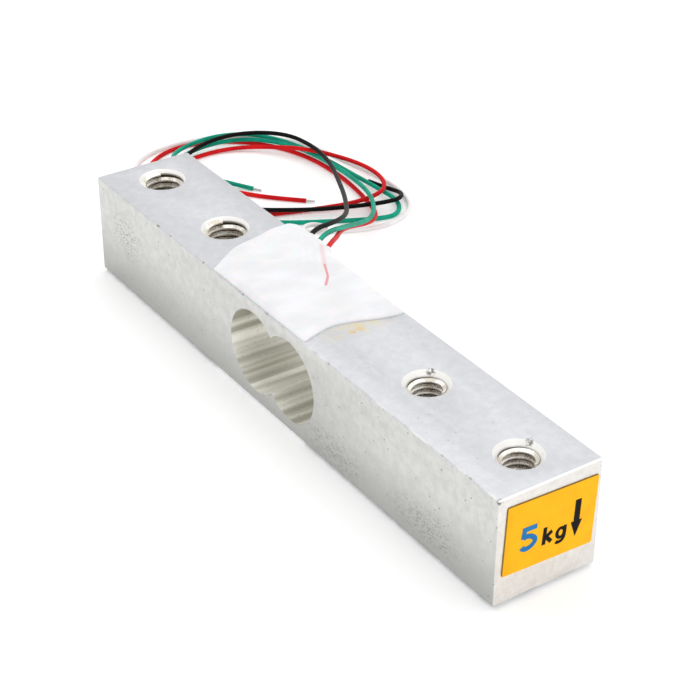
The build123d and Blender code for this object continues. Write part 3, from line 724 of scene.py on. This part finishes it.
def make_beam():
    """The bar with its holes, countersinks and cavity cut, and every edge broken."""
    beam = link("beam_bar", box_mesh(
        "beam_bar", (-HALF_LENGTH, -HALF_WIDTH, UNDERSIDE), (HALF_LENGTH, HALF_WIDTH, TOP),
    ), aluminium)
    edges = beam.modifiers.new("edges", "BEVEL")
    edges.width, edges.segments, edges.limit_method = BAR_EDGE * MM, 3, "NONE"
    cutters = []
    for name, x, radius, mouth, _, _ in HOLES:
        sink = mouth - radius
        rings = [
            (mouth + OVERCUT, UNDERSIDE - OVERCUT), (mouth, UNDERSIDE), (radius, UNDERSIDE + sink),
            (radius, TOP - sink), (mouth, TOP), (mouth + OVERCUT, TOP + OVERCUT),
        ]
        cutters.append(link("cut_" + name, turned_mesh(
            "cut_" + name, rings, HOLE_SIDES, (x, 0.0, 0.0))))
    for x in (-CAVITY_OFFSET, CAVITY_OFFSET):
        rings = [(CAVITY_RADIUS, -CAVITY_CUT), (CAVITY_RADIUS, CAVITY_CUT)]
        cutters.append(link("cut_cavity", turned_mesh(
            "cut_cavity", rings, CAVITY_SIDES, (x, 0.0, MIDDLE), along_y=True)))
    for cutter in cutters:
        cut = beam.modifiers.new("cut", "BOOLEAN")
        cut.object, cut.operation, cut.solver = cutter, "DIFFERENCE", "EXACT"
    settled(beam)
    for cutter in cutters:
        bpy.data.objects.remove(cutter)
    rims = beam.modifiers.new("rims", "BEVEL")
    rims.width, rims.segments, rims.limit_method = RIM_BREAK * MM, 2, "ANGLE"
    rims.angle_limit = math.radians(31.0)
    settled(beam)
    beam.data.shade_smooth()
    beam.data.set_sharp_from_angle(angle=math.radians(32.0))
    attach(beam, "root")
    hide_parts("beam")


make_beam()


THREAD_GAP = (0.2, 0.15)     # from the lower and the upper countersink to the ridge's ends
THREAD_BITE = 0.02           # how far the ridge's root reaches into the wall
ROOT_SHARE, CREST_SHARE = 0.86, 0.22         # of the pitch


def thread_tree():
    """A ridge that winds up a hole: a spiral swept with a trapezoid that tapers at both ends."""
    tree = bpy.data.node_groups.new("thread_ridge", "GeometryNodeTree")
    tree.interface.new_socket("Geometry", in_out="INPUT", socket_type="NodeSocketGeometry")
    for name in ("Turns", "Radius", "Height", "Depth", "Root", "Crest"):
        tree.interface.new_socket(name, in_out="INPUT", socket_type="NodeSocketFloat")
    tree.interface.new_socket("Place", in_out="INPUT", socket_type="NodeSocketVector")
    tree.interface.new_socket("Finish", in_out="INPUT", socket_type="NodeSocketMaterial")
    tree.interface.new_socket("Geometry", in_out="OUTPUT", socket_type="NodeSocketGeometry")
    given = add(tree, "NodeGroupInput").outputs
    spiral = add(tree, "GeometryNodeCurveSpiral", {
        "Resolution": 72, "Rotations": given["Turns"], "Start Radius": given["Radius"],
        "End Radius": given["Radius"], "Height": given["Height"],
    })
    level = add(tree, "GeometryNodeSetCurveNormal", {"Curve": spiral.outputs["Curve"]}, mode="Z_UP")
    factor = add(tree, "GeometryNodeSplineParameter").outputs["Factor"]
    swing = add(tree, "ShaderNodeMath", {0: factor, 1: 0.5}, operation="PINGPONG")
    taper = add(tree, "ShaderNodeMapRange", {
        "Value": swing.outputs["Value"], "From Min": 0.0, "From Max": 0.02,
        "To Min": 0.05, "To Max": 1.0,
    })
    sized = add(tree, "GeometryNodeSetCurveRadius", {
        "Curve": level.outputs["Curve"], "Radius": taper.outputs["Result"],
    })
    profile = add(tree, "GeometryNodeCurvePrimitiveQuadrilateral", {
        "Height": given["Depth"], "Bottom Width": given["Root"], "Top Width": given["Crest"],
        "Offset": 0.0,
    }, mode="TRAPEZOID")
    # a quarter turn points the narrow crest at the hole's axis
    inward = add(tree, "GeometryNodeTransform", {
        "Geometry": profile.outputs["Curve"], "Rotation": (0.0, 0.0, math.radians(-90.0)),
    })
    ridge = add(tree, "GeometryNodeCurveToMesh", {
        "Curve": sized.outputs["Curve"], "Profile Curve": inward.outputs["Geometry"],
        "Fill Caps": True,
    })
    placed = add(tree, "GeometryNodeTransform", {
        "Geometry": ridge.outputs["Mesh"], "Translation": given["Place"],
    })
    real = add(tree, "GeometryNodeRealizeInstances", {"Geometry": placed.outputs["Geometry"]})
    finished = add(tree, "GeometryNodeSetMaterial", {
        "Geometry": real.outputs["Geometry"], "Material": given["Finish"],
    })
    add(tree, "NodeGroupOutput", {"Geometry": finished.outputs["Geometry"]})
    return tree


def make_threads():
    """One ridge in each hole, from under one countersink to the other."""
    tree = thread_tree()
    sockets = {
        item.name: item.identifier for item in tree.interface.items_tree if item.in_out == "INPUT"
    }
    for name, x, radius, mouth, pitch, depth in HOLES:
        thread = link("thread_" + name, bpy.data.meshes.new("thread_" + name))
        winding = thread.modifiers.new("winding", "NODES")
        winding.node_group = tree
        sink = mouth - radius
        start, stop = UNDERSIDE + sink + THREAD_GAP[0], TOP - sink - THREAD_GAP[1]
        values = {
            "Turns": (stop - start) / pitch, "Radius": (radius + THREAD_BITE - depth / 2) * MM,
            "Height": (stop - start) * MM, "Depth": depth * MM,
            "Root": ROOT_SHARE * pitch * MM, "Crest": CREST_SHARE * pitch * MM,
            "Place": (x * MM, 0.0, start * MM), "Finish": cut_thread,
        }
        for key, value in values.items():
            winding[sockets[key]] = value
        settled(thread)
        shape = bmesh.new()
        shape.from_mesh(thread.data)
        bmesh.ops.remove_doubles(shape, verts=shape.verts, dist=1e-7)
        bmesh.ops.recalc_face_normals(shape, faces=shape.faces)
        shape.to_mesh(thread.data)
        shape.free()
        thread.data.shade_smooth()
        thread.data.set_sharp_from_angle(angle=math.radians(35.0))
        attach(thread, "root")


make_threads()

# Sealant

ROOT_DEPTH = 0.3         # how far the silicone's hidden back reaches into the metal
HUMP = 0.5               # the silicone heaped over each lead, out from the lead's middle
HUMP_END = 7.0           # where the leads come out of it, along Y
HUMP_STEP = 0.25         # between the balls that make a hump
FEATHER_EDGE = 4.2       # how far in from the fixed end's rim the coat thins
THINNEST = 0.1           # its share of the full thickness at that rim
FIXED_RIM = -11.0        # the rim short of this X is the fixed end's
BESIDE_LEADS = (0.5, 4.0)            # along Y, where that thinning fades out beside the leads
WIPED, WIPED_SHARE = (-0.5, 4.0), 0.5        # along X, where the coat flattens to half
BEAD_OUT = HALF_WIDTH + 0.2          # past this Y the bead on the side is left as it is
VOXEL = 0.14             # of the remeshed silicone
NEAR = 0.01              # a vertex this close to a face of the bar lies on it
RIM_STEPS = 20           # points on each run of the rim that thickness is measured from
# what closes the hollow over the gauges and the solder, from corner to corner
FILLING = ((-8.2, -1.9, TOP - ROOT_DEPTH), (5.3, 3.3, TOP + 0.72))


def heap(shape, route):
    """Small overlapping balls along a lead's first stretch, which heap the silicone over it."""
    stops = [Vector(route[0])] + [
        (Vector(before) + Vector(after)) / 2 for before, after in zip(route[1:4], route[2:5])
    ]
    for start, stop in zip(stops, stops[1:]):
        count = math.ceil((stop - start).length / HUMP_STEP)
        for step in range(count):
            place = start.lerp(stop, step / count)
            if place.y < HUMP_END - HUMP / 2:
                bmesh.ops.create_icosphere(
                    shape, subdivisions=2, radius=HUMP * MM, matrix=Matrix.Translation(place * MM))


def eased(value, low, high):
    """0 below low, 1 above high, and smooth between."""
    part = min(max((value - low) / (high - low), 0.0), 1.0)
    return part * part * (3 - 2 * part)


def spread(mesh, solid):
    """Thins the coat where it was wiped out: to a feather edge at the fixed end, clear of the
    leads, and to a flat skin towards the load end."""
    rim = sorted({
        (round(vertex.co.y / MM, 2), round(vertex.co.x / MM, 2)) for vertex in solid.vertices
        if abs(vertex.co.z / MM - TOP) < NEAR and vertex.co.x / MM < FIXED_RIM
    })
    stops = [
        Vector((x, y, 0.0)).lerp(Vector((next_x, next_y, 0.0)), step / RIM_STEPS)
        for (y, x), (next_y, next_x) in zip(rim, rim[1:])
        for step in range(RIM_STEPS)
    ]
    tree = KDTree(len(stops))
    for number, stop in enumerate(stops):
        tree.insert(stop, number)
    tree.balance()
    for vertex in mesh.vertices:
        x, y, z = (value / MM for value in vertex.co)
        if z <= TOP or y > BEAD_OUT:
            continue
        from_rim = tree.find((x, y, 0.0))[2]
        feather = THINNEST + (1 - THINNEST) * eased(from_rim, 0.0, FEATHER_EDGE)
        share = feather + (1 - feather) * eased(y, *BESIDE_LEADS)
        share *= 1 - WIPED_SHARE * eased(x, *WIPED)
        vertex.co.z = (TOP + (z - TOP) * share) * MM


def make_coat(name, sources, passes):
    """Silicone shaped from its CAD solids: sunk into the bar, remeshed and smoothed till soft."""
    shape = bmesh.new()
    for source in sources:
        shape.from_mesh(nodes[source].data)
    for vertex in shape.verts:
        x, y, z = (value / MM for value in vertex.co)
        if abs(z - TOP) < NEAR and y < HALF_WIDTH + NEAR:
            vertex.co.z -= ROOT_DEPTH * MM
        elif abs(z - UNDERSIDE) < NEAR and y < HALF_WIDTH + NEAR:
            vertex.co.z += ROOT_DEPTH * MM
        if abs(y - HALF_WIDTH) < NEAR and "sealant_side" in sources:
            vertex.co.y -= ROOT_DEPTH * MM
    if "sealant_top" in sources:
        for _, route in LEADS.values():
            heap(shape, route)
        low, high = FILLING
        bmesh.ops.create_cube(shape, size=1.0, matrix=Matrix.LocRotScale(
            (Vector(low) + Vector(high)) / 2 * MM, None, (Vector(high) - Vector(low)) * MM))
    mesh = bpy.data.meshes.new(name)
    shape.to_mesh(mesh)
    shape.free()
    coat = link(name, mesh, silicone)
    remesh = coat.modifiers.new("remesh", "REMESH")
    remesh.mode, remesh.voxel_size, remesh.use_smooth_shade = "VOXEL", VOXEL * MM, True
    soften = coat.modifiers.new("soften", "SMOOTH")
    soften.factor, soften.iterations = 0.5, passes
    settled(coat)
    if "sealant_top" in sources:
        spread(coat.data, nodes["sealant_top"].data)
    coat.data.shade_smooth()
    coat.data.materials.clear()
    coat.data.materials.append(silicone)
    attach(coat, "root")
    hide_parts(*sources)


make_coat("sealant_upper_coat", ["sealant_top", "sealant_side"], passes=12)
make_coat("sealant_lower_coat", ["sealant_bottom"], passes=4)

# Studio


def make_floor():
    """White seamless paper: so bright that it clips to white, with the faintest contact shadow."""
    material = new_material(
        "paper_white", Base_Color=srgb("F6F6F6"), Roughness=0.8, Specular_IOR_Level=0.2,
        Emission_Color=srgb("FFFFFF"), Emission_Strength=0.14)[0]
    mesh = bpy.data.meshes.new("paper")
    reach = 1.5
    corners = [(-reach, -reach, 0), (reach, -reach, 0), (reach, reach, 0), (-reach, reach, 0)]
    mesh.from_pydata(corners, [], [(0, 1, 2, 3)])
    link("paper", mesh, material)


def make_lamp(name, place, size, power, aim=(0.0, 0.0, 6.0)):
    """A large soft square lamp at a place in millimetres, aimed at another."""
    data = bpy.data.lights.new(name, "AREA")
    data.shape, data.size, data.energy = "SQUARE", size * MM, power
    lamp = bpy.data.objects.new(name, data)
    lamp.location = Vector(place) * MM
    lamp.rotation_mode = "QUATERNION"
    lamp.rotation_quaternion = (Vector(aim) - Vector(place)).to_track_quat("-Z", "Y")
    bpy.context.scene.collection.objects.link(lamp)


def make_world(strength):
    """An even white room round the table."""
    world = bpy.data.worlds.new("white_room")
    world.use_nodes = True
    back = world.node_tree.nodes["Background"]
    back.inputs["Color"].default_value = (1.0, 1.0, 1.0, 1.0)
    back.inputs["Strength"].default_value = strength
    bpy.context.scene.world = world


make_floor()
make_world(strength=1.0)
make_lamp("lamp_above", (-80.0, 120.0, 420.0), size=520.0, power=0.36)
make_lamp("lamp_end", (420.0, -60.0, 200.0), size=220.0, power=0.2)
bpy.context.scene.view_settings.view_transform = "Standard"
bpy.context.scene.view_settings.look = "None"
